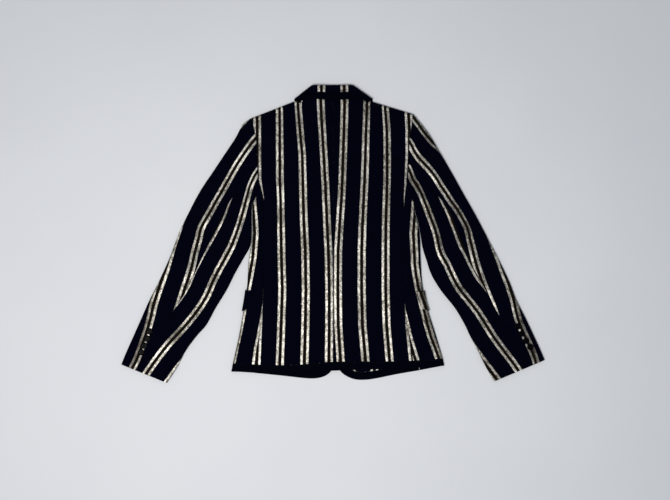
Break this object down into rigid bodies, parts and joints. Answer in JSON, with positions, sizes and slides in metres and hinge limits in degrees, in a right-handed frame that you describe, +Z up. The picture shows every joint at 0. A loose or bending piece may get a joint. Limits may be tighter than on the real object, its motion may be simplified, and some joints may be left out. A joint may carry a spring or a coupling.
{
  "type": "blazer",
  "caption": "Slim striped blazer laid face down and flat, with two-piece sleeves, a plain dark border, a turned collar, pocket flaps and buttoned cuffs.",
  "frame": {"origin": "middle of the laid blazer's outline, on the surface it rests on", "axes": "+Y along the back towards the collar, +X towards the wearer's right sleeve, +Z up out of the back"},
  "size_m": [0.929, 0.6534, 0.0121],
  "materials": {
    "striped_cloth": "navy cloth with metallic gold stripes",
    "black_border": "matt ribbed band",
    "black_button": "polished"
  },
  "bodies": {
    "root": {"back_left": "striped_cloth", "back_right": "striped_cloth", "side_left": "striped_cloth", "side_right": "striped_cloth", "front_left": "striped_cloth", "front_right": "striped_cloth", "lapel_left": "striped_cloth", "lapel_right": "striped_cloth", "topsleeve_left": "striped_cloth", "topsleeve_right": "striped_cloth", "undersleeve_left": "striped_cloth", "undersleeve_right": "striped_cloth", "flap_left": "striped_cloth", "flap_right": "striped_cloth", "collar": "striped_cloth", "collar_stand": "striped_cloth", "front_border_left": "black_border", "front_border_right": "black_border", "hem_border": "black_border", "collar_border": "black_border", "cuff_button_left_1": "black_button", "cuff_button_left_2": "black_button", "cuff_button_left_3": "black_button", "cuff_button_left_4": "black_button", "cuff_button_right_1": "black_button", "cuff_button_right_2": "black_button", "cuff_button_right_3": "black_button", "cuff_button_right_4": "black_button", "front_button": "black_button"}
  },
  "joints": []
}
